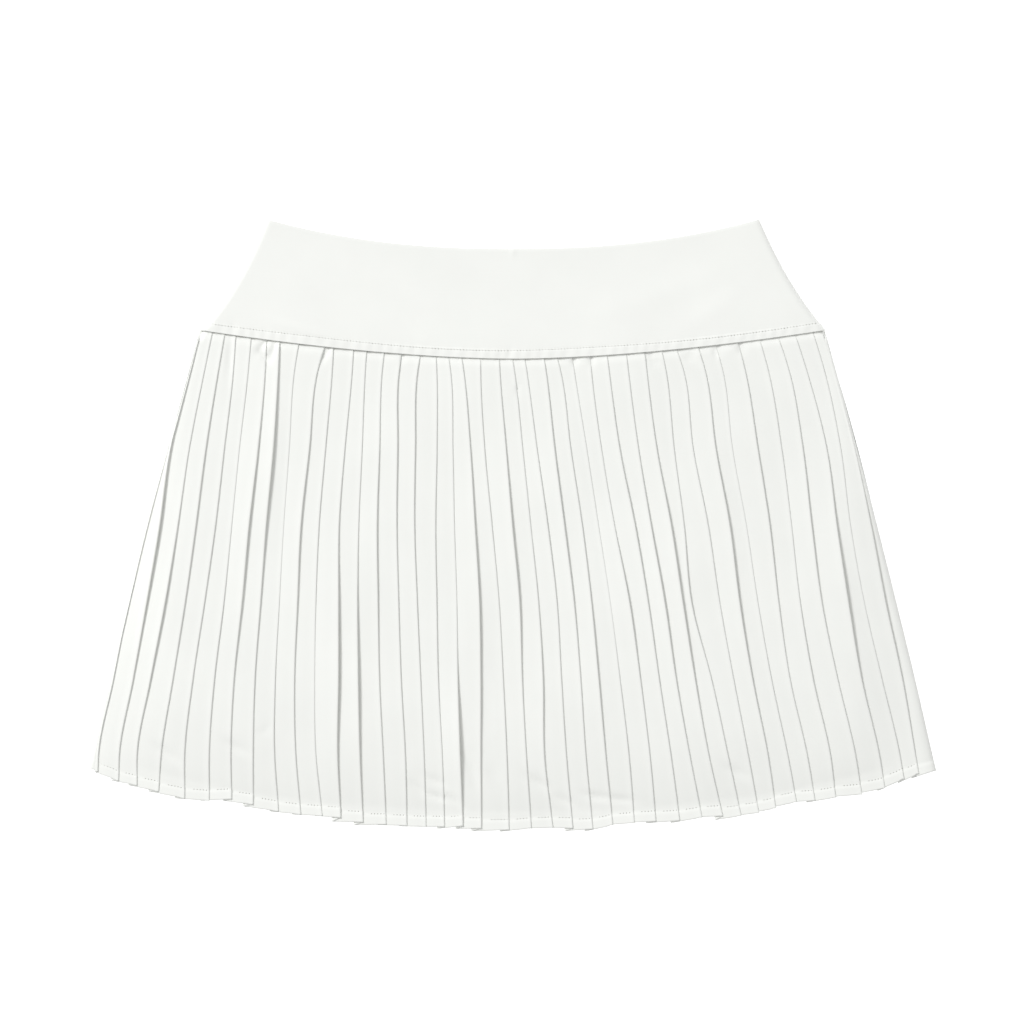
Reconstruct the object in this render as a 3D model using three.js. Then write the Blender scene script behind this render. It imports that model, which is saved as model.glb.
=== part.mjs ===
// A pleated skort laid flat on a table, front up: a wide double waistband, a knife-pleated
// skirt with its front panel lying on its back panel, and plain shorts between the two.
// Millimetres. X runs across the garment, Y from the hem up to the waist, Z up from the table.

import * as THREE from "three";

// ---- Cloth ----

const CLOTH = 1; // one layer of skirt or shorts cloth
const BAND_CLOTH = 2; // the waistband is cut double
const AIR = 0.3; // between folded layers, and between pieces at a seam
const PLY = CLOTH + AIR; // from one folded layer to the next

// ---- Outline of the whole garment ----

const WAIST = { half: 160, sideY: 199.2, dip: 19, bend: 2.3 };
const SEAM = { half: 203.5, sideY: 127, dip: 18.7, bend: 1.7 };
const HEM = { half: 275.5, sideY: -158.5, dip: 38.8, bend: 2.4 };
const BAND_SIDE = { x: 179, y: 154 }; // pulls each side of the waistband in to a hollow curve

// The Y of a line that is lowest at the centre front and rises to sideY at half.
const lineY = (line, x) =>
  line.sideY - line.dip * (1 - Math.abs(x / line.half) ** line.bend);

// ---- Pleat chart ----
// One row for each fold edge of the front, from left to right: its X at the waist seam, at the
// upper and the lower level, and at the hem. peep is how far its inner fold hangs below the hem.

const UPPER_Y = 50;
const LOWER_Y = -50;
const FRONT_PLEATS = [
  { seam: -201.5, upper: -224.5, lower: -249, hem: -270, peep: 0 },
  { seam: -199, upper: -222, lower: -237.5, hem: -256.5, peep: 0 },
  { seam: -194.5, upper: -210.5, lower: -227, hem: -244.5, peep: 0 },
  { seam: -187, upper: -199.5, lower: -213.5, hem: -230.5, peep: 0 },
  { seam: -180, upper: -188, lower: -200.5, hem: -213.5, peep: 0 },
  { seam: -170, upper: -177, lower: -188, hem: -197.5, peep: 0 },
  { seam: -160, upper: -165.5, lower: -176, hem: -183, peep: 1 },
  { seam: -151.5, upper: -155, lower: -164, hem: -169, peep: 1 },
  { seam: -139, upper: -145.5, lower: -152, hem: -152.5, peep: 0 },
  { seam: -124, upper: -132, lower: -140, hem: -138, peep: 0 },
  { seam: -116, upper: -121.5, lower: -128, hem: -124, peep: 0 },
  { seam: -103.5, upper: -109, lower: -113.5, hem: -112, peep: 2.5 },
  { seam: -95, upper: -98, lower: -101, hem: -98, peep: 2 },
  { seam: -83.5, upper: -86.5, lower: -88, hem: -82.5, peep: 0.5 },
  { seam: -72.5, upper: -75, lower: -74.5, hem: -69, peep: 0.5 },
  { seam: -60.5, upper: -63.5, lower: -62, hem: -56.5, peep: 0 },
  { seam: -50, upper: -49.5, lower: -50, hem: -44.5, peep: 1 },
  { seam: -42, upper: -39, lower: -36.5, hem: -32.5, peep: 1.5 },
  { seam: -33, upper: -27.5, lower: -22, hem: -20.5, peep: 2 },
  { seam: -21, upper: -18.5, lower: -9.5, hem: -2.5, peep: 1 },
  { seam: -9, upper: -5, lower: 4, hem: 12, peep: 0 },
  { seam: -0.5, upper: 6, lower: 16.5, hem: 26, peep: 0 },
  { seam: 8, upper: 15.5, lower: 28, hem: 39, peep: 1.5 },
  { seam: 20, upper: 27, lower: 39.5, hem: 52, peep: 1.5 },
  { seam: 28, upper: 37.5, lower: 50.5, hem: 65, peep: 0 },
  { seam: 38.5, upper: 47.5, lower: 63, hem: 79, peep: 0 },
  { seam: 50, upper: 57.5, lower: 74, hem: 93, peep: 1 },
  { seam: 60.5, upper: 69, lower: 87.5, hem: 108.5, peep: 1.5 },
  { seam: 73.5, upper: 81.5, lower: 98.5, hem: 123, peep: 0 },
  { seam: 85.5, upper: 93, lower: 109, hem: 136.5, peep: 2.5 },
  { seam: 96, upper: 104.5, lower: 117, hem: 148.5, peep: 0 },
  { seam: 106, upper: 117, lower: 134, hem: 160, peep: 0 },
  { seam: 120, upper: 131.5, lower: 146.5, hem: 171, peep: 0 },
  { seam: 131.5, upper: 142.5, lower: 159, hem: 184.5, peep: 0 },
  { seam: 145.5, upper: 159, lower: 173, hem: 196.5, peep: 1 },
  { seam: 160, upper: 174.5, lower: 186.5, hem: 210, peep: 0 },
  { seam: 172.5, upper: 188.5, lower: 200.5, hem: 227, peep: 0 },
  { seam: 183, upper: 202.5, lower: 217, hem: 242, peep: 1.5 },
  { seam: 193, upper: 212.5, lower: 228, hem: 254.5, peep: 2.5 },
  { seam: 200, upper: 222.5, lower: 242, hem: 264, peep: 3 },
];
const SIDE_LEFT = { seam: -204, upper: -227, lower: -251.5, hem: -275.5, peep: 0 };
const SIDE_RIGHT = { seam: 203.5, upper: 226, lower: 250, hem: 275.5, peep: 0 };

const BACK_PLEATS = FRONT_PLEATS.length; // evenly spaced, because the garment lies on them

// X of a fold edge at share v of its length, from the waist seam (0) to the hem (1): the smooth
// curve through the chart's four levels.
function foldX(fold, v) {
  const top = lineY(SEAM, fold.seam);
  const levels = [
    { y: top, x: fold.seam },
    { y: UPPER_Y, x: fold.upper },
    { y: LOWER_Y, x: fold.lower },
    { y: lineY(HEM, fold.hem), x: fold.hem },
  ];
  const y = THREE.MathUtils.lerp(top, lineY(HEM, fold.hem), v);
  return levels.reduce((sum, here) => {
    const others = levels.filter((other) => other !== here);
    return sum + others.reduce((w, o) => (w * (y - o.y)) / (here.y - o.y), here.x);
  }, 0);
}

// Y of the skirt's row at share v, at a place x across it.
function rowY(x, v) {
  const share = x / THREE.MathUtils.lerp(SEAM.half, HEM.half, v);
  const top = lineY(SEAM, share * SEAM.half) - AIR;
  return THREE.MathUtils.lerp(top, lineY(HEM, share * HEM.half), v);
}

// ---- Heights of the layers, as they lie on each other ----

const BACK_TOP = 2 * PLY + CLOTH; // the back panel's three folded layers
const SHORTS_BACK_Z = BACK_TOP + AIR;
const SHORTS_FRONT_Z = SHORTS_BACK_Z + PLY;
const FRONT_OVER_SHORTS = SHORTS_FRONT_Z + PLY;
const FRONT_ON_BACK = BACK_TOP + 0.7;
const SIDE_Z = BACK_TOP + AIR / 2; // where the front and the back panel meet at the side

const SHORTS = { half: 199, legHalf: 214, legY: -128, legDip: 14, crotchY: -62, inseamX: 20 };
const DRAPE = { past: 14, side: 20, below: 26 }; // how softly the skirt falls past the shorts

// The height of the front panel's underside over the table.
function frontBase(x, y) {
  const down = THREE.MathUtils.clamp((SEAM.sideY - y) / (SEAM.sideY - SHORTS.legY), 0, 1);
  const half = THREE.MathUtils.lerp(SHORTS.half, SHORTS.legHalf, down) + DRAPE.past;
  const across = 1 - THREE.MathUtils.smoothstep(Math.abs(x), half, half + DRAPE.side);
  const legHem = SHORTS.legY - SHORTS.legDip - 2;
  const along = THREE.MathUtils.smoothstep(y, legHem - DRAPE.below, legHem);
  return THREE.MathUtils.lerp(FRONT_ON_BACK, FRONT_OVER_SHORTS, across * along);
}

// ---- Walls ----

// A closed wall between two grids of points with the same rows and columns. upper is the side
// that faces up when rows run down -Y and columns along +X.
function wall(upper, lower) {
  const rows = upper.length;
  const columns = upper[0].length;
  const sideOf = rows * columns;
  const positions = [...upper, ...lower].flat().flatMap((p) => [p.x, p.y, p.z]);
  const index = [];
  const quad = (a, b, c, d) => index.push(a, b, c, a, c, d);
  const at = (row, column) => row * columns + column;
  for (let row = 0; row + 1 < rows; row += 1) {
    for (let column = 0; column + 1 < columns; column += 1) {
      const corners = [
        at(row, column),
        at(row + 1, column),
        at(row + 1, column + 1),
        at(row, column + 1),
      ];
      quad(...corners);
      quad(...corners.reverse().map((corner) => corner + sideOf));
    }
  }
  // The rim: once round the border, so that each edge of it joins the two sides.
  const border = [];
  for (let row = 0; row < rows; row += 1) border.push(at(row, 0));
  for (let column = 1; column < columns; column += 1) border.push(at(rows - 1, column));
  for (let row = rows - 2; row >= 0; row -= 1) border.push(at(row, columns - 1));
  for (let column = columns - 2; column > 0; column -= 1) border.push(at(0, column));
  border.forEach((here, i) => {
    const next = border[(i + 1) % border.length];
    quad(next, here, here + sideOf, next + sideOf);
  });
  const geometry = new THREE.BufferGeometry();
  geometry.setAttribute("position", new THREE.Float32BufferAttribute(positions, 3));
  geometry.setIndex(index);
  return geometry;
}

const point = (x, y, z) => new THREE.Vector3(x, y, z);

// ---- Front of the skirt ----
// Knife pleats, like shingles: each face climbs to its fold edge on the right, the cloth turns
// under it and runs back, turns again at the inner fold, and goes on as the next face.

const UNDERLAP = 0.4; // the turned-under part, as a share of the narrower face beside it
const LEAST_UNDERLAP = 1.6;
const CLIMB = (2 * PLY) / (1 - UNDERLAP); // a face's rise, which leaves room for two layers
const FRONT_ROWS = [0, 0.2, 0.42, 0.64, 0.82, 0.92, 1];

function frontRow(v) {
  const folds = FRONT_PLEATS.map((fold) => ({ x: foldX(fold, v), peep: fold.peep * v ** 8 }));
  const left = foldX(SIDE_LEFT, v);
  const right = foldX(SIDE_RIGHT, v);
  const upper = [];
  const lower = [];
  const add = (x, outerZ, innerX, innerZ, peep = 0) => {
    const base = frontBase(x, rowY(x, v));
    upper.push(point(x, rowY(x, v) - peep, base + outerZ));
    lower.push(point(innerX, rowY(innerX, v) - peep, base + innerZ));
  };
  // The left side wall, which turns down to the side seam.
  const side = (x, innerX) => {
    upper.push(point(x, rowY(x, v), SIDE_Z + AIR / 2));
    lower.push(point(innerX, rowY(innerX, v), SIDE_Z + AIR / 2));
  };
  side(left, left + CLOTH);
  add(left, CLOTH / 2, left + CLOTH, 0);
  let start = { x: left + CLOTH / 2, peep: 0 };
  folds.forEach((fold, i) => {
    const before = i ? folds[i - 1].x : left;
    const after = i + 1 < folds.length ? folds[i + 1].x : right;
    const narrow = Math.min(fold.x - before, after - fold.x);
    const inner = { x: fold.x - Math.max(UNDERLAP * narrow, LEAST_UNDERLAP), peep: fold.peep };
    const slope = CLIMB / (fold.x - start.x);
    add(start.x + CLOTH, CLOTH + slope * CLOTH, start.x, 0, start.peep);
    add(fold.x, CLIMB + CLOTH, fold.x - CLOTH, CLIMB - slope * CLOTH);
    // The return lies halfway between its own face and the next one.
    const nextSlope = CLIMB / (after - inner.x);
    const returnZ = (x) => (CLIMB - slope * (fold.x - x) + nextSlope * (x - inner.x)) / 2;
    const turn = fold.x - CLOTH;
    const slot = inner.x + CLOTH;
    add(fold.x, returnZ(fold.x), turn, returnZ(turn) + CLOTH);
    add(slot, returnZ(slot), inner.x, returnZ(inner.x) + CLOTH, inner.peep);
    start = inner;
  });
  // The last face comes down again to the right side wall.
  add(start.x + CLOTH, CLOTH * 1.3, start.x, 0, start.peep);
  add(right - CLOTH, CLOTH * 2, right - 1.5 * CLOTH, CLOTH);
  add(right, CLOTH, right - CLOTH, 0);
  side(right, right - CLOTH);
  return { upper, lower };
}

function skirtFront() {
  const rows = FRONT_ROWS.map(frontRow);
  return wall(
    rows.map((row) => row.upper),
    rows.map((row) => row.lower),
  );
}

// ---- Back of the skirt ----
// Made outside up and then turned over. Its faces lie flat on the table: each one dips under the
// fold edge before it by a short ramp, so the folded layers all stand above the table.

const RAMP = 3;
const RAMP_SHIFT = 0.4; // moves the ramp's inner side, to keep the wall's thickness
const BACK_ROWS = [0, 0.3, 0.65, 1];

function backRow(v) {
  const half = foldX(SIDE_RIGHT, v);
  const under = Math.max((UNDERLAP * 2 * half) / BACK_PLEATS, LEAST_UNDERLAP);
  const upper = [];
  const lower = [];
  const add = (x, z, innerX, innerZ) => {
    upper.push(point(x, rowY(x, v), z));
    lower.push(point(innerX, rowY(innerX, v), innerZ));
  };
  const rim = -(SIDE_Z - AIR / 2);
  add(-half, rim, -half + CLOTH, rim);
  add(-half, -CLOTH / 2, -half + CLOTH, -1.5 * CLOTH);
  add(-half + CLOTH / 2, 0, -half + 1.5 * CLOTH, -CLOTH);
  for (let i = 0; i < BACK_PLEATS; i += 1) {
    const fold = ((2 * (i + 0.5)) / BACK_PLEATS - 1) * half;
    const slot = fold - under + CLOTH;
    const foot = fold + AIR;
    const head = fold + RAMP;
    add(fold, 0, fold - CLOTH, -CLOTH);
    add(fold, -PLY - CLOTH, fold - CLOTH, -PLY);
    add(slot, -PLY - CLOTH, slot - CLOTH, -PLY);
    add(slot, -2 * PLY, slot - CLOTH, -2 * PLY - CLOTH);
    add(foot, -2 * PLY, foot + RAMP_SHIFT, -2 * PLY - CLOTH);
    add(head, 0, head + RAMP_SHIFT, -CLOTH);
  }
  add(half - CLOTH / 2, 0, half - 1.5 * CLOTH, -CLOTH);
  add(half, -CLOTH / 2, half - CLOTH, -1.5 * CLOTH);
  add(half, rim, half - CLOTH, rim);
  return { upper, lower };
}

function skirtBack() {
  const rows = BACK_ROWS.map(backRow);
  const made = wall(
    rows.map((row) => row.upper),
    rows.map((row) => row.lower),
  );
  return made.rotateY(Math.PI);
}

// ---- Waistband ----
// Front and back are one shape. The lower edge is thicker, because the seam allowances are
// turned up inside it and topstitched down.

const BAND_COLUMNS = 16;
const BAND_ROWS = [0, 0.3, 0.65, 0.91, 0.96, 1];
const SEAM_STRIP = 0.91; // share of the band's height where the turned-up allowances end
const BAND_EDGE = 3.6; // thickness of the back's lower edge
const BAND_EDGE_FRONT = 5.6; // the front's lower edge stands just above the pleats
const BAND_GAP_Z = 2.3; // between the two bands at the waist opening

const bezier = (a, b, c, v) => (1 - v) ** 2 * a + 2 * v * (1 - v) * b + v ** 2 * c;

// A point of the band's outline grid: s runs from side to side, v from the waist to the seam.
function bandPoint(s, v) {
  const sideX = bezier(WAIST.half, BAND_SIDE.x, SEAM.half, v);
  const sideY = bezier(WAIST.sideY, BAND_SIDE.y, SEAM.sideY, v);
  const share = (WAIST.sideY - sideY) / (WAIST.sideY - SEAM.sideY);
  const centreY = THREE.MathUtils.lerp(lineY(WAIST, 0), lineY(SEAM, 0), share);
  const bend = THREE.MathUtils.lerp(WAIST.bend, SEAM.bend, share);
  return { x: s * sideX, y: centreY + (sideY - centreY) * Math.abs(s) ** bend };
}

// thick and under are the band's thickness and the height of its inner side, at share v. rim is
// the height that its sides come to, where the front and the back band meet.
function bandWall({ thick, under, rim }) {
  const upper = [];
  const lower = [];
  for (const v of BAND_ROWS) {
    const top = under(v) + thick(v);
    const rowUpper = [];
    const rowLower = [];
    const add = (s, z, inset, innerZ) => {
      const here = bandPoint(s, v);
      rowUpper.push(point(here.x, here.y, z));
      rowLower.push(point(here.x - Math.sign(s) * inset, here.y, innerZ));
    };
    add(-1, rim(v), BAND_CLOTH, rim(v));
    add(-1, top - BAND_CLOTH / 2, BAND_CLOTH, under(v) - AIR / 2);
    for (let i = 0; i <= BAND_COLUMNS; i += 1) {
      const s = ((2 * i) / BAND_COLUMNS - 1) * 0.985;
      add(s, top, 0, under(v));
    }
    add(1, top - BAND_CLOTH / 2, BAND_CLOTH, under(v) - AIR / 2);
    add(1, rim(v), BAND_CLOTH, rim(v));
    upper.push(rowUpper);
    lower.push(rowLower);
  }
  return wall(upper, lower);
}

const stripShare = (v) => THREE.MathUtils.smoothstep(v, SEAM_STRIP - 0.02, 0.97);
const rise = (v) => THREE.MathUtils.smoothstep(v, 0, 1);
const bandSideZ = (v) => THREE.MathUtils.lerp(BAND_GAP_Z, SIDE_Z, rise(v));

function waistbandFront() {
  const underSeam = FRONT_OVER_SHORTS;
  return bandWall({
    thick: (v) => THREE.MathUtils.lerp(BAND_CLOTH, BAND_EDGE_FRONT, stripShare(v)),
    under: (v) => THREE.MathUtils.lerp(BAND_GAP_Z + 2 * AIR, underSeam, rise(v)),
    rim: (v) => bandSideZ(v) + AIR / 2,
  });
}

// The back band is made outside up and then turned over, like the back of the skirt.
function waistbandBack() {
  return bandWall({
    thick: (v) => THREE.MathUtils.lerp(BAND_CLOTH - AIR, BAND_EDGE - AIR, stripShare(v)),
    under: (v) => -THREE.MathUtils.lerp(BAND_CLOTH - AIR, BAND_EDGE - AIR, stripShare(v)),
    rim: (v) => -(bandSideZ(v) - AIR / 2),
  }).rotateY(Math.PI);
}

// ---- Shorts ----
// Four flat panels. This is the outline of the right front one, from the centre seam outwards.

const SHORTS_TOP_STEPS = 6;

function shortsPanel(z) {
  const seamX = AIR / 2;
  const outline = new THREE.Shape();
  outline.moveTo(seamX, SHORTS.crotchY);
  outline.quadraticCurveTo(seamX, SHORTS.crotchY - 18, SHORTS.inseamX, SHORTS.crotchY - 22);
  outline.lineTo(SHORTS.inseamX + 4, SHORTS.legY - SHORTS.legDip);
  outline.quadraticCurveTo(
    SHORTS.legHalf / 2,
    SHORTS.legY - SHORTS.legDip,
    SHORTS.legHalf,
    SHORTS.legY,
  );
  outline.lineTo(SHORTS.half, lineY(SEAM, SHORTS.half) - 1);
  for (let i = SHORTS_TOP_STEPS - 1; i >= 0; i -= 1) {
    const x = seamX + ((SHORTS.half - seamX) * i) / SHORTS_TOP_STEPS;
    outline.lineTo(x, lineY(SEAM, x) - 1);
  }
  const made = new THREE.ExtrudeGeometry(outline, {
    depth: CLOTH,
    bevelEnabled: false,
    curveSegments: 6,
  });
  return made.translate(0, 0, z);
}

// ---- The garment ----

const skort = new THREE.Group();
skort.name = "pleated_skort";

const knit = new THREE.MeshStandardMaterial({ color: "#f6f7f2", roughness: 0.75, metalness: 0 });
const pleated = new THREE.MeshStandardMaterial({ color: "#f8f9f5", roughness: 0.6, metalness: 0 });

function sew(name, geometry, material) {
  const piece = new THREE.Mesh(geometry, material);
  piece.name = name;
  skort.add(piece);
  return piece;
}

sew("waistband_front", waistbandFront(), knit);
sew("waistband_back", waistbandBack(), knit);
sew("skirt_front", skirtFront(), pleated);
sew("skirt_back", skirtBack(), pleated);
for (const [layer, z] of [
  ["front", SHORTS_FRONT_Z],
  ["back", SHORTS_BACK_Z],
]) {
  sew(`shorts_${layer}_right`, shortsPanel(z), knit);
  // The left panel is the same piece, turned over.
  sew(`shorts_${layer}_left`, shortsPanel(-z - CLOTH).rotateY(Math.PI), knit);
}

export default skort;
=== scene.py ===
# A pleated skort laid flat on a table, front up. The file builds it from the table upwards: the
# back of the skirt, the hidden shorts, the front of the skirt, then the waistband over its seam.

import math

import bpy
import numpy as np
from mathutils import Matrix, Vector


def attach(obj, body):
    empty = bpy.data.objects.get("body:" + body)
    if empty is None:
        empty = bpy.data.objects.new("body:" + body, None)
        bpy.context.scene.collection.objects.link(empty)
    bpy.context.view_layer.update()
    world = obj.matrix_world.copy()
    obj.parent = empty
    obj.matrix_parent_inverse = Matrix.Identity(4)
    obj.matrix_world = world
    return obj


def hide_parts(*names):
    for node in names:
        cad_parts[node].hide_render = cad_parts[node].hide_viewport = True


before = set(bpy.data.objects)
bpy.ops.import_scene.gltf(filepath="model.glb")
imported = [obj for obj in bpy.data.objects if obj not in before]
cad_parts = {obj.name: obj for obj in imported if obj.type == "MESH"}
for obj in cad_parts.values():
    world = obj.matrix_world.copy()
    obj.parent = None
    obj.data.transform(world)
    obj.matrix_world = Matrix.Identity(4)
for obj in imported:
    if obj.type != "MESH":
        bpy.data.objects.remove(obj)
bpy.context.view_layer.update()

# ---- Back of the skirt ----
# One flared panel of light woven cloth, heat-set in even knife pleats. The garment lies on it,
# so its faces are pressed flat on the table. Its hem is turned up once and stitched on the real skirt;
# this panel is built without the turned hem.

MM = 0.001
WAIST = {"half": 160, "side_y": 199.4, "dip": 19.2, "bend": 2.3}
SEAM = {"half": 203.5, "side_y": 127, "dip": 18.7, "bend": 1.7}
HEM = {"half": 275.5, "side_y": -158.5, "dip": 38.4, "bend": 2.4}
UPPER_Y = 50
LOWER_Y = -50
SIDE_EDGE = (203.5, 226, 250, 275.5)
PLEAT_CLOTH = 0.36
HEM_DEPTH = 6.6
BACK_PLEATS = 40
BACK_UNDERLAP = 0.36
# The back stays this far inside the front's sides, and ends at this share of its length.
BACK_INSET = 1.6
BACK_END = 0.988


def smooth(low, high, value):
    """A soft step: 0 at low, 1 at high."""
    t = np.clip((np.asarray(value, float) - low) / (high - low), 0, 1)
    return t * t * (3 - 2 * t)


def line_y(line, x):
    """Y of a line that is lowest at the middle of the garment and rises towards its sides."""
    return line["side_y"] - line["dip"] * (1 - np.abs(np.asarray(x) / line["half"]) ** line["bend"])


def row_y(x, v):
    """Y of the skirt's row at share v of its length, at a place x across it."""
    share = x / (SEAM["half"] + (HEM["half"] - SEAM["half"]) * v)
    top = line_y(SEAM, share * SEAM["half"]) - 0.3
    return top + (line_y(HEM, share * HEM["half"]) - top) * v


def fold_x(levels, v):
    """X of a fold line at share v, on the smooth curve through its places at four levels."""
    seam, upper, lower, hem = levels
    ys = (float(line_y(SEAM, seam)), UPPER_Y, LOWER_Y, float(line_y(HEM, hem)))
    y = ys[0] + (ys[3] - ys[0]) * v
    total = np.zeros_like(np.asarray(v, float))
    for i, x in enumerate(levels):
        weight = 1.0
        for j in range(4):
            if j != i:
                weight = weight * (y - ys[j]) / (ys[i] - ys[j])
        total = total + x * weight
    return total


def sheet_mesh(name, grid, thickness=0.0):
    """A sheet from a grid of points in millimetres: rows from the waist down, columns to +X."""
    rows, columns = grid.shape[:2]
    bpy.ops.object.select_all(action="DESELECT")
    bpy.ops.mesh.primitive_grid_add(x_subdivisions=columns - 1, y_subdivisions=rows - 1, size=1)
    piece = bpy.context.object
    piece.name = name
    piece.data.name = name
    # The grid's points run along X first, from -Y upwards.
    points = grid[::-1].reshape(-1, 3) * MM
    piece.data.vertices.foreach_set("co", points.astype(np.float32).ravel())
    piece.data.update()
    if thickness:
        wall = piece.modifiers.new("wall", "SOLIDIFY")
        wall.thickness = thickness * MM
        wall.offset = 0
        bpy.ops.object.modifier_apply(modifier="wall")
    bpy.ops.object.shade_smooth()
    return piece


def back_skirt_points(rows=26):
    """Rows of the back: each pleat is a face on the table, with its two inner folds lying above."""
    grid = []
    for v in np.linspace(0, BACK_END, rows):
        half = float(fold_x(SIDE_EDGE, v)) - BACK_INSET
        pitch = 2 * half / BACK_PLEATS
        under = BACK_UNDERLAP * pitch
        line = [(-half, 3.2), (-half, 1.4), (-half + 0.4, 0.5), (-half + 1.2, 0.3)]
        for i in range(BACK_PLEATS):
            fold = ((2 * (i + 0.5)) / BACK_PLEATS - 1) * half
            line += [
                (fold - 0.9, 0.28),
                (fold - 0.25, 0.34),
                (fold, 0.75),
                (fold - 0.4, 1.15),
                (fold - under + 0.4, 1.3),
                (fold - under, 1.75),
                (fold - under + 0.5, 2.2),
                (fold + 0.2, 2.1),
                (fold + 1.6, 1.2),
                (fold + 3.2, 0.35),
            ]
        line += [(half - 1.2, 0.3), (half - 0.4, 0.5), (half, 1.4), (half, 3.2)]
        line = np.array(line)
        grid.append(np.stack([line[:, 0], row_y(line[:, 0], v), line[:, 1]], 1))
    grid = np.array(grid)
    # The back's pleats are a mirror image, as its outside faces the table.
    grid[:, :, 0] *= -1
    return grid


def cloth_material(name, colour, weave_size, weave_depth, roughness, ribbed):
    """Fine off-white cloth: threads in bump and tone, soft unevenness and a faint sheen."""
    material = bpy.data.materials.new(name)
    material.use_nodes = True
    nodes = material.node_tree.nodes
    links = material.node_tree.links
    shader = nodes["Principled BSDF"]
    shader.inputs["Roughness"].default_value = roughness
    shader.inputs["Sheen Weight"].default_value = 0.12
    shader.inputs["Sheen Roughness"].default_value = 0.45
    shader.inputs["Specular IOR Level"].default_value = 0.3
    place = nodes.new("ShaderNodeTexCoord")
    warp = nodes.new("ShaderNodeTexWave")
    warp.inputs["Scale"].default_value = weave_size
    warp.inputs["Distortion"].default_value = 0.4
    warp.bands_direction = "X"
    weft = nodes.new("ShaderNodeTexWave")
    weft.inputs["Scale"].default_value = weave_size * (0.55 if ribbed else 1.0)
    weft.inputs["Distortion"].default_value = 0.4
    weft.bands_direction = "Y"
    links.new(place.outputs["Object"], warp.inputs["Vector"])
    links.new(place.outputs["Object"], weft.inputs["Vector"])
    threads = nodes.new("ShaderNodeMix")
    threads.data_type = "RGBA"
    threads.blend_type = "MULTIPLY"
    threads.inputs["Factor"].default_value = 1.0
    links.new(warp.outputs["Color"], threads.inputs["A"])
    links.new(weft.outputs["Color"], threads.inputs["B"])
    cloud = nodes.new("ShaderNodeTexNoise")
    cloud.inputs["Scale"].default_value = 28
    cloud.inputs["Detail"].default_value = 5
    links.new(place.outputs["Object"], cloud.inputs["Vector"])
    tone = nodes.new("ShaderNodeValToRGB")
    tone.color_ramp.elements[0].position = 0.3
    tone.color_ramp.elements[0].color = [c * 0.975 for c in colour] + [1]
    tone.color_ramp.elements[1].position = 0.7
    tone.color_ramp.elements[1].color = list(colour) + [1]
    links.new(cloud.outputs["Fac"], tone.inputs["Fac"])
    gaps = nodes.new("ShaderNodeMix")
    gaps.data_type = "RGBA"
    gaps.blend_type = "SOFT_LIGHT"
    gaps.inputs["Factor"].default_value = 0.05
    links.new(tone.outputs["Color"], gaps.inputs["A"])
    links.new(threads.outputs["Result"], gaps.inputs["B"])
    links.new(gaps.outputs["Result"], shader.inputs["Base Color"])
    bump = nodes.new("ShaderNodeBump")
    bump.inputs["Strength"].default_value = 0.25
    bump.inputs["Distance"].default_value = weave_depth
    links.new(threads.outputs["Result"], bump.inputs["Height"])
    links.new(bump.outputs["Normal"], shader.inputs["Normal"])
    return material


CLOTH_WHITE = (0.875, 0.885, 0.855)
pleat_cloth = cloth_material("pleated_cloth", CLOTH_WHITE, 520, 0.00008, 0.62, False)

skirt_back = sheet_mesh("skirt_back_cloth", back_skirt_points(), PLEAT_CLOTH)
skirt_back.data.materials.append(pleat_cloth)
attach(skirt_back, "root")
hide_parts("skirt_back")


# ---- Shorts ----
# Plain built-in shorts of smooth jersey, hidden between the two skirt panels. Four flat panels,
# a front and a back for each leg, meet at the centre seam.

SHORTS = {"half": 199, "leg_half": 214, "leg_y": -128, "leg_dip": 14, "crotch_y": -62}
SHORTS_TOP_Y = 126
SHORTS_DROP = 270
CENTRE_GAP = 0.2
LEG_GAP = 22
# Mid height of the two layers over the table.
SHORTS_Z = {"back": 4.4, "front": 5.7}
JERSEY_LAYER = 0.9
knit = cloth_material("smooth_knit", CLOTH_WHITE, 640, 0.00006, 0.7, True)


def shorts_points(side, z, rows=30, columns=24):
    """One flat panel, from the centre seam to the side: side is 1 for +X and -1 for -X."""
    grid = np.zeros((rows, columns, 3))
    for r, v in enumerate(np.linspace(0, 1, rows)):
        at_y = SHORTS_TOP_Y - SHORTS_DROP * v
        leg = float(smooth(SHORTS["crotch_y"] + 4, SHORTS["crotch_y"] - 26, at_y))
        outer = SHORTS["half"] + (SHORTS["leg_half"] - SHORTS["half"]) * v
        x = np.linspace(CENTRE_GAP + LEG_GAP * leg, outer, columns)
        bottom = SHORTS["leg_y"] - SHORTS["leg_dip"] * (1 - x / SHORTS["leg_half"])
        top = line_y(SEAM, x) - 1
        grid[r, :, 0] = x * side
        grid[r, :, 1] = top + (bottom - top) * v
        grid[r, :, 2] = z
    return grid if side > 0 else grid[:, ::-1]


for layer, middle_z in SHORTS_Z.items():
    for leg_name, side in (("right", 1), ("left", -1)):
        panel = shorts_points(side, middle_z)
        leg_piece = sheet_mesh(f"shorts_{layer}_{leg_name}_cloth", panel, JERSEY_LAYER)
        leg_piece.data.materials.append(knit)
        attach(leg_piece, "root")
        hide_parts(f"shorts_{layer}_{leg_name}")


# ---- Front of the skirt ----
# The same pleated panel as the back. Its knife pleats all face right, and each one overlaps the
# next. They were pressed once and have since moved: some edges stand up, and most are curved.

# Places of each fold edge: at the waist seam, at six levels down the skirt, and at the hem.
LEVELS_Y = (100, 50, 0, -50, -100, -150)
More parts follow.
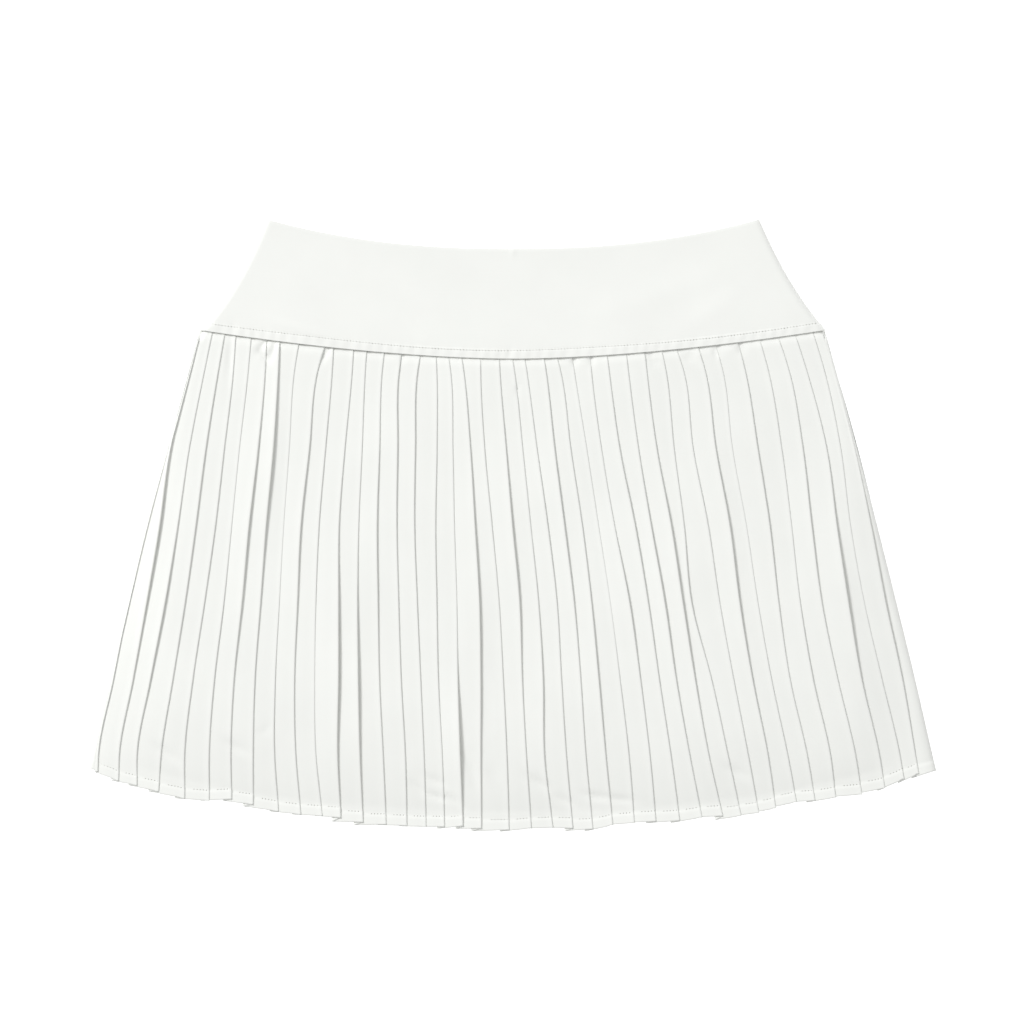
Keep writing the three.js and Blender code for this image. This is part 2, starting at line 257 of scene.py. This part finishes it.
# The first eight numbers are X at the seam, at the six levels and at the hem; then the hem's Y.
# Lift is how far the edge stands up, strongest at its Y and fading over its reach. Peep is how
# far the inner fold hangs below the hem.
# seam, y 100, y 50, y 0, y -50, y -100, y -150, hem, hem y, lift, its y, its reach, peep
PLEATS = (
    (-203.2, -210.8, -224.4, -238, -250, -260, -269.8, -270, -160, 0.2, 0, 60, 0.5),
    (-202.2, -209.9, -222.6, -229.5, -238, -247, -256.2, -256.5, -166, 2.0, -10, 90, 0),
    (-195, -200.5, -210.3, -217.7, -226, -235.6, -244.6, -244.5, -169, 1.2, -55, 60, 0),
    (-187, -191.5, -199.5, -206, -213, -221, -229, -230.5, -173, 0.5, 20, 90, 0),
    (-180, -181.7, -187.5, -193.3, -200.4, -208, -213.6, -213.5, -177.5, 0.1, 0, 60, 0),
    (-170, -172, -177.6, -182.6, -187.8, -194, -197.6, -197.5, -179, 0.2, -60, 60, 0),
    (-160, -161, -165.5, -171.4, -176, -181.3, -183.5, -183, -178, 1.8, 10, 85, 1.2),
    (-151.5, -152.5, -155.6, -160.3, -164, -167.7, -169, -169, -181.5, 1.9, 45, 75, 1.2),
    (-139, -142, -145.2, -148.8, -151.7, -154.4, -155, -152.5, -186, -0.4, 0, 120, 0),
    (-122, -127, -132.3, -137.8, -140, -142, -141.2, -138, -188, 0.9, 0, 80, 0),
    (-116.5, -117.5, -121.8, -126, -128, -128.7, -128, -124, -189, 0.2, -80, 60, 0),
    (-103.5, -104.5, -109.2, -113, -113.3, -113.3, -114, -112, -190, 2.6, -95, 70, 2.6),
    (-95, -96, -98, -100.2, -101, -100.5, -99.5, -97.5, -193, 1.9, -105, 60, 2),
    (-83.5, -85, -86.7, -88.3, -87.7, -86.8, -84.4, -82.5, -194.5, 0.7, 0, 80, 0.5),
    (-72, -74, -75, -75.5, -74.3, -72.7, -70, -69, -195.3, 0.7, 60, 60, 0.4),
    (-60, -62, -63.5, -64, -62.2, -60, -57.8, -56.5, -196, 0.4, 60, 60, 0),
    (-50, -49.5, -49.4, -50.3, -49.5, -48.5, -45.9, -44.5, -196, 0.5, -140, 50, 1.4),
    (-42, -40.5, -39, -38, -36.4, -35.8, -34.3, -32.5, -195.5, 2.7, -140, 42, 2),
    (-33.5, -32, -27.7, -24.7, -21.8, -21, -21, -20.5, -197, 1.5, -50, 110, 2),
    (-21, -21, -18.4, -13.6, -9, -6.3, -4, -2.5, -198, 0.3, 0, 60, 1.2),
    (-9, -8.5, -4.5, -0.4, 4.3, 6, 8.7, 12, -197, 1.5, -20, 75, 0.3),
    (-0.5, 1, 6.3, 11.5, 16.6, 19.5, 20.4, 26, -196.5, 0.6, -110, 50, 0),
    (7.5, 9, 15.6, 22.6, 28.6, 31.5, 34.7, 39, -197, 0.5, 0, 60, 1.8),
    (20, 21.5, 27, 33.4, 39.7, 44, 47.4, 52, -197.5, 0.9, 0, 90, 1.6),
    (28.5, 31, 37.5, 45, 51, 55.7, 60.3, 65, -195, 0.7, -90, 60, 0),
    (38.5, 40, 48, 55.7, 63.4, 69.6, 75.4, 79, -193.5, -0.4, 0, 120, 0),
    (50, 51, 57.5, 66, 75.7, 82.8, 89, 93, -192.5, 1.2, -50, 45, 1.2),
    (61, 62.5, 69.3, 79.3, 87.8, 95, 102.7, 108.5, -192, 1.2, -20, 80, 1.6),
    (73.5, 75, 81.5, 89.7, 98.6, 106, 115, 123, -190, 1.7, -40, 70, 0),
    (85.5, 87, 93.4, 102.7, 110.3, 118.3, 127.4, 136.5, -189, 1.8, -35, 75, 2.6),
    (96.5, 99.5, 104.7, 111.2, 116, 129, 139.9, 148.5, -189, 0.4, -45, 30, 0),
    (106, 111, 117, 126.8, 134.3, 143.4, 153, 160, -187, 0.4, 0, 60, 0),
    (120, 125, 131.7, 140.8, 147.2, 155.6, 165.8, 171, -184, 1.4, -25, 85, 0),
    (131.5, 136.5, 142.7, 151.8, 159.2, 168, 178.7, 184.5, -180, -0.4, 0, 120, 0),
    (146, 151, 159, 166.8, 172.6, 180, 191.4, 196.5, -179, 0.6, 20, 80, 1.2),
    (160, 166, 174.6, 181, 186.6, 195, 206.4, 210, -177, 0.4, -90, 50, 0),
    (172, 179.5, 188.3, 194, 200.6, 211, 222.8, 227, -175, 1.2, -20, 70, 0),
    (183, 191, 203.8, 210.3, 217.8, 226.5, 238.4, 242, -171, 2.2, -40, 60, 1.6),
    (194.5, 202.5, 213, 219.4, 228.4, 239.9, 251.8, 254.5, -165, -0.3, 0, 90, 2.6),
    (200.3, 208.6, 222, 232.7, 242.2, 253.2, 262, 264, -161.5, 1.2, -40, 80, 3),
)
LEFT_EDGE = (-203.8, -211.2, -225, -238.6, -250.6, -262.6, -274.2, -276, -158)
RIGHT_EDGE = (202.5, 210.2, 223.8, 237, 249.6, 261.8, 273.3, 275.5, -159.5)
UNDERLAP = 0.4
FACE_CLIMB = 1.42
FACE_CROWN = 0.22
SKIRT_LENGTH = 305
# What the front lies on: its height over the shorts and beside them, how far past the shorts it
# starts to sink, and how wide the slopes are at the sides and above the hem.
FRONT_OVER_SHORTS = 8.6
FRONT_ON_BACK = 4.5
SHORTS_MARGIN = 6
SIDE_SLOPE = 45
HEM_FLAT = 11
HEM_SLOPE = 80
# The top row is tucked under the band: how far, how deep, and the height it keeps to there.
TUCK_LENGTH = 1.3
TUCK_DEPTH = 0.9
TUCK_TOP = 8.75
TUCK_CORNER_TOP = 2.65
TUCK_END = 0.0068
TUCK_RISE = 420
BAND_ROLL = 4.5
# The turned hem: its extra thickness, the groove under its stitches and the curl of its edge.
HEM_EXTRA = 0.28
HEM_GROOVE = 0.25
HEM_CURL = 0.55
CREASE_STRENGTH = 1.5
DEEPEST_DENT = -1.6
# Small creases and dents: x, y, direction in degrees, length, width, height, all in millimetres.
CREASES = (
    (-163, 116, 58, 5, 1.2, -1.6),
    (-162, 110.5, 122, 5, 1.2, -1.4),
    (-156, 113, 72, 6, 1.3, -1.1),
    (-122, 111, 70, 5, 1.6, -0.9),
    (-72, 109, 80, 3, 1.2, -0.9),
    (-184, 108, 88, 14, 1.8, -0.5),
    (39, 107, 95, 3, 1.2, -0.9),
    (50, 107, 100, 3, 1.2, -0.8),
    (90, 108, 130, 5, 1.2, -1.0),
    (115, 110, 130, 5, 1.2, -1.0),
    (132, 113, 100, 3, 1.2, -0.9),
    (147, 115, 105, 3, 1.2, -0.9),
    (2.5, 88, 70, 4, 1.0, -0.5),
    (-16, -112, 88, 20, 1.4, -0.5),
    (-50, -176, 155, 6, 1.6, -0.8),
    (-40, -177, 140, 7, 1.5, -0.9),
    (-50, -166, 150, 8, 2.4, -0.7),
    (-27, -160, 110, 12, 2.0, -0.6),
    (-13, -158, 105, 14, 2.2, -0.5),
    (-62, -170, 135, 8, 2.4, -0.6),
    (17, -167, 145, 9, 2.6, -0.9),
    (32, -178, 150, 9, 2.2, -0.7),
    (54, -176, 165, 7, 2.2, -0.8),
    (70, -178, 170, 8, 2.0, -0.7),
    (-161, -133, 60, 4, 1.2, -0.5),
    (-225, -148, 140, 9, 2.6, -0.7),
    (-180, -144, 145, 8, 2.4, -0.7),
    (145, -160, 150, 8, 2.4, -0.7),
)


def through(levels, top_y, bottom_y, y):
    """X of a fold at height y, on a smooth curve through its places at all levels."""
    ys = np.array((bottom_y,) + LEVELS_Y[::-1] + (top_y,), float)
    xs = np.array(levels[7:0:-1] + levels[:1], float)
    slopes = np.gradient(xs, ys)
    i = np.clip(np.searchsorted(ys, y) - 1, 0, len(ys) - 2)
    step = ys[i + 1] - ys[i]
    t = (y - ys[i]) / step
    return (
        (2 * t**3 - 3 * t**2 + 1) * xs[i]
        + (t**3 - 2 * t**2 + t) * step * slopes[i]
        + (3 * t**2 - 2 * t**3) * xs[i + 1]
        + (t**3 - t**2) * step * slopes[i + 1]
    )


def dents(x, y, creases):
    """Height that a list of creases adds at a place: each is a long soft hollow or ridge."""
    z = 0
    for cx, cy, turn, length, width, height in creases:
        c, s = math.cos(math.radians(turn)), math.sin(math.radians(turn))
        along = (x - cx) * c + (y - cy) * s
        across = (y - cy) * c - (x - cx) * s
        z = z + height * np.exp(-((along / length) ** 2) - (across / width) ** 2)
    return z


def creased(x, y):
    """Height that the creases and the general unevenness of laid cloth add at a place."""
    uneven = 0.16 * np.sin(x / 31 + y / 47) + 0.12 * np.sin(x / 17 - y / 26 + 1.3)
    return np.maximum(uneven + CREASE_STRENGTH * dents(x, y, CREASES), DEEPEST_DENT)


def front_base(x, y):
    """Height of what the front lies on: the shorts, or past them the back of the skirt."""
    down = np.clip((SEAM["side_y"] - y) / (SEAM["side_y"] - SHORTS["leg_y"]), 0, 1)
    half = SHORTS["half"] + (SHORTS["leg_half"] - SHORTS["half"]) * down + SHORTS_MARGIN
    across = 1 - smooth(half, half + SIDE_SLOPE, np.abs(x))
    hem_y = line_y(HEM, x)
    along = 1 - (1 - np.clip((y - hem_y - HEM_FLAT) / HEM_SLOPE, 0, 1)) ** 2.7
    return FRONT_ON_BACK + (FRONT_OVER_SHORTS - FRONT_ON_BACK) * across * along


def under_band(x, v):
    """Highest Z the front may reach at v: below the band's turned edge, then free of it."""
    side_gap = np.clip((SEAM["half"] - 1.4 - np.abs(x)) / BAND_ROLL, 0, 1)
    roll = 1 - np.sqrt(1 - (1 - side_gap) ** 2)
    return TUCK_TOP + (TUCK_CORNER_TOP - TUCK_TOP) * roll + TUCK_RISE * max(0.0, v - TUCK_END)


def front_row(v):
    """One row of the front at share v of its length: every face, edge and inner fold in turn."""
    edges = [LEFT_EDGE] + [p[:9] for p in PLEATS] + [RIGHT_EDGE]
    tops = [float(line_y(SEAM, e[0])) + TUCK_LENGTH for e in edges]
    ys = [top + (e[8] - top) * v for top, e in zip(tops, edges)]
    xs = [float(through(e, top, e[8], y)) for e, top, y in zip(edges, tops, ys)]
    near_hem = float(smooth(0.93, 1.0, v))
    near_seam = float(smooth(0.02, 0.004, v))
    first = xs[0] + 0.22
    room = min(1.0, (xs[1] - first) / 3)
    points = [(first, ys[0], -1.8), (first, ys[0], -0.5), (first + 0.35 * room, ys[0], 0.15)]
    start = {"x": first + 0.9 * room, "y": ys[0], "z": 0.4}
    for i, pleat in enumerate(PLEATS, 1):
        lift, lift_y, reach, peep = pleat[9:]
        x, y = max(xs[i], start["x"] + 0.6), ys[i]
        narrow = max(min(x - start["x"], xs[i + 1] - x), 0.1)
        under = max(UNDERLAP * narrow, 0.06)
        flat_end = 1 - 0.25 * near_hem - 0.22 * float(smooth(0.5, 0.0, v))
        steep = 0.78 + 0.22 * min(1.0, (x - start["x"]) / 12)
        lifted = lift * math.exp(-(((y - lift_y) / reach) ** 2) * 1.2) * (1 - 0.7 * near_seam)
        climb = FACE_CLIMB * flat_end * steep + lifted
        next_x = x - under
        small = min(1.0, narrow / 4)
        width = x - start["x"]
        # The face, with a slight crown and a pressed ridge just before its edge.
        for share in (0.0, 0.14, 0.3, 0.5, 0.7, 0.86):
            at = start["x"] + (width - 1.6 * small) * share
            gone = (at - start["x"]) / width
            at_y = start["y"] + (y - start["y"]) * gone
            at_z = start["z"] + (climb - start["z"]) * min(max(gone, 0), 1)
            points.append((at, at_y, at_z + FACE_CROWN * math.sin(math.pi * share)))
        points.append((x - 1.4 * small, y, climb))
        points.append((x - 0.55 * small, y, climb + 0.17))
        points.append((x - 0.12 * small, y, climb + 0.1))
        points.append((x, y, climb - 0.16))
        # The return, halfway down to the next face, and the inner fold.
        points.append((x - 0.45 * small, y, climb * 0.68))
        inner_y = y - peep * (0.15 + 0.85 * float(smooth(0.9, 1.0, v))) * near_hem
        points.append((next_x + 0.35 * small, inner_y, climb * 0.42))
        start = {"x": next_x, "y": inner_y, "z": 0.12}
    x, y = xs[-1], ys[-1]
    for share in (0, 0.3, 0.6, 0.85):
        at = start["x"] + (x - 1.2 - start["x"]) * share
        points.append((at, start["y"] + (y - start["y"]) * share, 0.12 + 1.2 * math.sin(1.8 * share)))
    points += [(x - 0.5, y, 0.5), (x - 0.2, y, -0.4), (x - 0.25, y, -1.6)]
    line = np.array(points, float)
    line[:, 2] += front_base(line[:, 0], line[:, 1]) + creased(line[:, 0], line[:, 1])
    line[:, 2] -= TUCK_DEPTH * near_seam
    line[:, 2] = np.minimum(line[:, 2], under_band(line[:, 0], v))
    # The turned hem is twice as thick, with a shallow groove under its stitches.
    above_hem = (1 - v) * SKIRT_LENGTH
    line[:, 2] += HEM_EXTRA * (1 - float(smooth(HEM_DEPTH - 0.4, HEM_DEPTH + 1.2, above_hem)))
    line[:, 2] -= HEM_GROOVE * math.exp(-(((above_hem - HEM_DEPTH) / 0.8) ** 2))
    line[:, 2] += HEM_CURL * max(0.0, 1 - above_hem / (HEM_DEPTH + 1))
    return line


# Rows are closer at the seam and towards the hem.
front_rows = np.concatenate(
    [
        np.linspace(0, 0.07, 12),
        np.linspace(0.085, 0.8, 44),
        np.linspace(0.807, 0.968, 28),
        np.linspace(0.972, 1, 11),
    ]
)
front_grid = np.array([front_row(v) for v in front_rows])
skirt_front = sheet_mesh("skirt_front_cloth", front_grid, PLEAT_CLOTH)
skirt_front.data.materials.append(pleat_cloth)
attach(skirt_front, "root")
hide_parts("skirt_front")


# ---- Stitches ----
# Rows of lockstitch in white thread. Each stitch lies in a small dip, between two needle holes; each
# hole is a small dark disc of painted shade, standing for the shadow inside the hole.

STITCH = 2.05
THREAD_SIZE = (0.5, 0.2, 0.08)
# Size of the dark disc at each needle hole, which is painted shade for the shadow in the hole.
HOLE_SHADE_SIZE = (0.32, 0.38, 0.1)
POINTS_A_PLEAT = 12

thread = cloth_material("sewing_thread", (0.86, 0.87, 0.84), 1500, 0.00003, 0.5, False)
# Painted shade: a dark colour on small discs at the needle holes, standing in for the shadow inside each
# hole.
painted_hole_shade = bpy.data.materials.new("painted_hole_shade")
painted_hole_shade.use_nodes = True
painted_hole_shade.node_tree.nodes["Principled BSDF"].inputs["Base Color"].default_value = (0.24, 0.24, 0.21, 1)
painted_hole_shade.node_tree.nodes["Principled BSDF"].inputs["Roughness"].default_value = 0.9


def stitch_row(name, places):
    """Stitches from (x, y, z, direction) places: a thread between each two needle holes, each hole a
    dark disc of painted shade.
    """
    bpy.ops.object.select_all(action="DESELECT")
    bpy.ops.mesh.primitive_uv_sphere_add(segments=6, ring_count=5, radius=1)
    stitch = bpy.context.object
    ball = np.array([v.co for v in stitch.data.vertices])
    ball_faces = [list(p.vertices) for p in stitch.data.polygons]
    bpy.data.objects.remove(stitch)
    verts, faces, shade_disc_faces = [], [], []
    for x, y, z, turn in places:
        c, s = math.cos(turn), math.sin(turn)
        # A thread, then half a stitch on a dark disc of painted shade where the needle hole is.
        for shift, size, is_shade_disc in ((0, THREAD_SIZE, False), (STITCH / 2, HOLE_SHADE_SIZE, True)):
            first = len(verts)
            for bx, by, bz in ball * np.array(size):
                bx = bx + shift
                verts.append(((x + bx * c - by * s) * MM, (y + bx * s + by * c) * MM, (z + bz) * MM))
            faces += [[first + i for i in face] for face in ball_faces]
            shade_disc_faces += [is_shade_disc] * len(ball_faces)
    mesh = bpy.data.meshes.new(name)
    mesh.from_pydata(verts, [], faces)
    mesh.materials.append(thread)
    mesh.materials.append(painted_hole_shade)
    mesh.polygons.foreach_set("material_index", np.array(shade_disc_faces, np.int32))
    mesh.polygons.foreach_set("use_smooth", np.ones(len(faces), bool))
    row = bpy.data.objects.new(name, mesh)
    bpy.context.collection.objects.link(row)
    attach(row, "root")
    return row


def stitched_line(cloth, points, pitch=STITCH):
    """Even stitch places along a line of points, on the cloth's top."""
    steps = np.linalg.norm(np.diff(points[:, :2], axis=0), axis=1)
    length = np.concatenate([[0], np.cumsum(steps)])
    at = np.arange(pitch / 2, length[-1] - pitch / 2, pitch)
    x, y = (np.interp(at, length, points[:, k]) for k in range(2))
    turn = np.arctan2(np.gradient(y), np.gradient(x)) if len(at) > 1 else np.zeros(len(at))
    places = []
    for k in range(len(at)):
        hit, point, _, _ = cloth.ray_cast(Vector((x[k] * MM, y[k] * MM, 0.05)), Vector((0, 0, -1)))
        if hit:
            places.append((x[k], y[k], point.z / MM + 0.04, turn[k]))
    return places


hem_row = int(np.argmin(np.abs((1 - front_rows) * SKIRT_LENGTH - HEM_DEPTH)))
hem_line = front_grid[hem_row]
hem_places = []
# Each pleat is stitched only where its face shows, past the edge that overlaps it.
for i in range(1, len(PLEATS)):
    first = 3 + i * POINTS_A_PLEAT
    shown = hem_line[first : first + 9]
    shown = shown[shown[:, 0] > hem_line[first - 3, 0] + 0.3]
    if len(shown) > 1 and shown[-1, 0] - shown[0, 0] > 2 * STITCH:
        hem_places += stitched_line(skirt_front, shown)
hem_stitches = stitch_row("hem_stitches", hem_places)


# ---- Waistband ----
# Two wide contoured pieces of smooth knit, cut double, for the front and for the back. The seam
# allowances are turned up inside the lower edge and topstitched down, which puckers it a little.

BAND_CLOTH = 0.9
BAND_SIDE = (179.5, 153.5)
TOPSTITCH = 5.3
# Mid height of the front band at the waist, its rise to the seam, and its height at the sides.
WAIST_Z = 3.3
SEAM_RISE = 6.25
SIDE_Z = 2.4
SIDE_RISE = 1.2
# The doubled strip below the topstitching, the stitches' groove and the pucker between them.
STRIP = 0.3
GROOVE = 0.15
PUCKER = 0.13


def band_place(s, v):
    """A place on the band: s runs from side to side, v from the waist down to the seam."""
    side_x = (1 - v) ** 2 * WAIST["half"] + 2 * v * (1 - v) * BAND_SIDE[0] + v**2 * SEAM["half"]
    side_y = (1 - v) ** 2 * WAIST["side_y"] + 2 * v * (1 - v) * BAND_SIDE[1] + v**2 * SEAM["side_y"]
    share = (WAIST["side_y"] - side_y) / (WAIST["side_y"] - SEAM["side_y"])
    top, seam = line_y(WAIST, 0), line_y(SEAM, 0)
    middle = top + (seam - top) * share
    bend = WAIST["bend"] + (SEAM["bend"] - WAIST["bend"]) * share
    return s * side_x, middle + (side_y - middle) * np.abs(s) ** bend


# Faint drag lines across the front band: x, y, direction in degrees, length, width, height.
BAND_CREASES = (
    (0, 178.5, 90, 3, 2.0, 0.35),
    (-3, 111, 80, 4, 1.8, -0.25),
    (-183, 128, 80, 5, 3.0, -0.25),
    (-140, 128, 165, 20, 3.0, 0.3),
    (-58, 120, 140, 8, 2.5, 0.3),
    (95, 150, 20, 40, 9.0, 0.3),
    (-80, 155, 160, 45, 10.0, 0.3),
    (130, 140, 35, 25, 7.0, 0.25),
)


def band_points(front):
    """Rows of the front or the back band, rolled over at the sides to meet the other."""
    columns = np.linspace(-1, 1, 331)
    rows = np.concatenate([np.linspace(0, 0.87, 36), np.linspace(0.876, 1, 26)])
    grid = np.zeros((len(rows), len(columns), 3))
    for r, v in enumerate(rows):
        x, y = band_place(columns, v)
        above_seam = y - line_y(SEAM, x)
        side_gap = (1 - np.abs(columns)) * SEAM["half"]
        roll = 1 - np.sqrt(np.clip(1 - (1 - np.clip(side_gap / BAND_ROLL, 0, 1)) ** 2, 0, 1))
        strip = 1 - smooth(TOPSTITCH - 0.3, TOPSTITCH + 1.2, above_seam)
        groove = np.exp(-(((above_seam - TOPSTITCH - 0.35 * np.sin(x / 29)) / 0.7) ** 2))
        pucker = (np.sin(x * 0.83 + 1.7 * np.sin(x / 13)) + 0.6 * np.sin(x * 0.31)) * np.exp(
            -(((above_seam - 2.8) / 3.2) ** 2)
        )
        if front:
            rise = smooth(-0.25, 1.15, v) / smooth(-0.25, 1.15, 1)
            z = WAIST_Z + SEAM_RISE * rise + STRIP * strip - GROOVE * groove + PUCKER * pucker
            z = z + (SIDE_Z + SIDE_RISE * v - z) * roll
            z = z + dents(x, y, BAND_CREASES)
        else:
            z = BAND_CLOTH / 2 + 0.25 * groove + 1.2 * roll * v
        inset = 0 if front else 0.6
        grid[r, :, 0] = x * (1 - inset / SEAM["half"])
        grid[r, :, 1] = y - inset * (1 - v)
        grid[r, :, 2] = z
    return grid


for side_name in ("back", "front"):
    band_grid = band_points(side_name == "front")
    band = sheet_mesh(f"waistband_{side_name}_cloth", band_grid, BAND_CLOTH)
    bpy.ops.object.select_all(action="DESELECT")
    band.select_set(True)
    bpy.context.view_layer.objects.active = band
    edge = band.modifiers.new("turned_edge", "BEVEL")
    edge.width = 0.3 * MM
    edge.segments = 2
    edge.limit_method = "ANGLE"
    edge.angle_limit = math.radians(60)
    bpy.ops.object.modifier_apply(modifier="turned_edge")
    bpy.ops.object.shade_smooth()
    band.data.materials.append(knit)
    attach(band, "root")
    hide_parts(f"waistband_{side_name}")

stitch_at = np.array([band_place(s, 0.93) for s in np.linspace(-0.985, 0.985, 400)])
stitch_y = line_y(SEAM, stitch_at[:, 0]) + TOPSTITCH + 0.35 * np.sin(stitch_at[:, 0] / 29)
top_line = np.stack([stitch_at[:, 0], stitch_y], 1)
top_stitches = stitch_row("waist_stitches", stitched_line(band, top_line))


# ---- Table, light and camera ----
# A white table under one large soft light from the upper left, seen from straight above.

bpy.ops.object.select_all(action="DESELECT")
bpy.ops.mesh.primitive_plane_add(size=9, location=(0, 0, -0.0002))
floor = bpy.context.object
floor.name = "floor"
paper = bpy.data.materials.new("white_paper")
paper.use_nodes = True
paper_shader = paper.node_tree.nodes["Principled BSDF"]
paper_shader.inputs["Base Color"].default_value = (0.55, 0.55, 0.55, 1)
paper_shader.inputs["Roughness"].default_value = 0.9
paper_shader.inputs["Specular IOR Level"].default_value = 0.1
paper_shader.inputs["Emission Color"].default_value = (1, 1, 1, 1)
paper_shader.inputs["Emission Strength"].default_value = 0.95
floor.data.materials.append(paper)

world = bpy.data.worlds.new("studio")
bpy.context.scene.world = world
world.use_nodes = True
world.node_tree.nodes["Background"].inputs["Color"].default_value = (1, 1, 1, 1)
world.node_tree.nodes["Background"].inputs["Strength"].default_value = 0.6


def soft_light(name, place, size, power):
    """A square lamp at a place in metres, turned to the middle of the table."""
    light = bpy.data.lights.new(name, "AREA")
    light.shape = "SQUARE"
    light.size = size
    light.energy = power
    lamp = bpy.data.objects.new(name, light)
    bpy.context.collection.objects.link(lamp)
    lamp.location = place
    lamp.rotation_euler = (-Vector(place)).to_track_quat("-Z", "Y").to_euler()
    return lamp


soft_light("key_light", (-5.2, 4.8, 6.0), 2.6, 570)

# The camera hangs over the skirt and shows this width of it at the height of the cloth.
CAMERA_Z = 3.0
CLOTH_Z = 0.008
SHOWN_WIDTH = 0.6656
SENSOR = 36
camera = bpy.data.objects.new("camera", bpy.data.cameras.new("camera"))
bpy.context.collection.objects.link(camera)
camera.location = (-0.00065, 0.0088, CAMERA_Z)
camera.data.lens = SENSOR * (CAMERA_Z - CLOTH_Z) / SHOWN_WIDTH
camera.data.sensor_width = SENSOR
camera.data.clip_end = 20
bpy.context.scene.camera = camera
bpy.context.scene.view_settings.view_transform = "Standard"
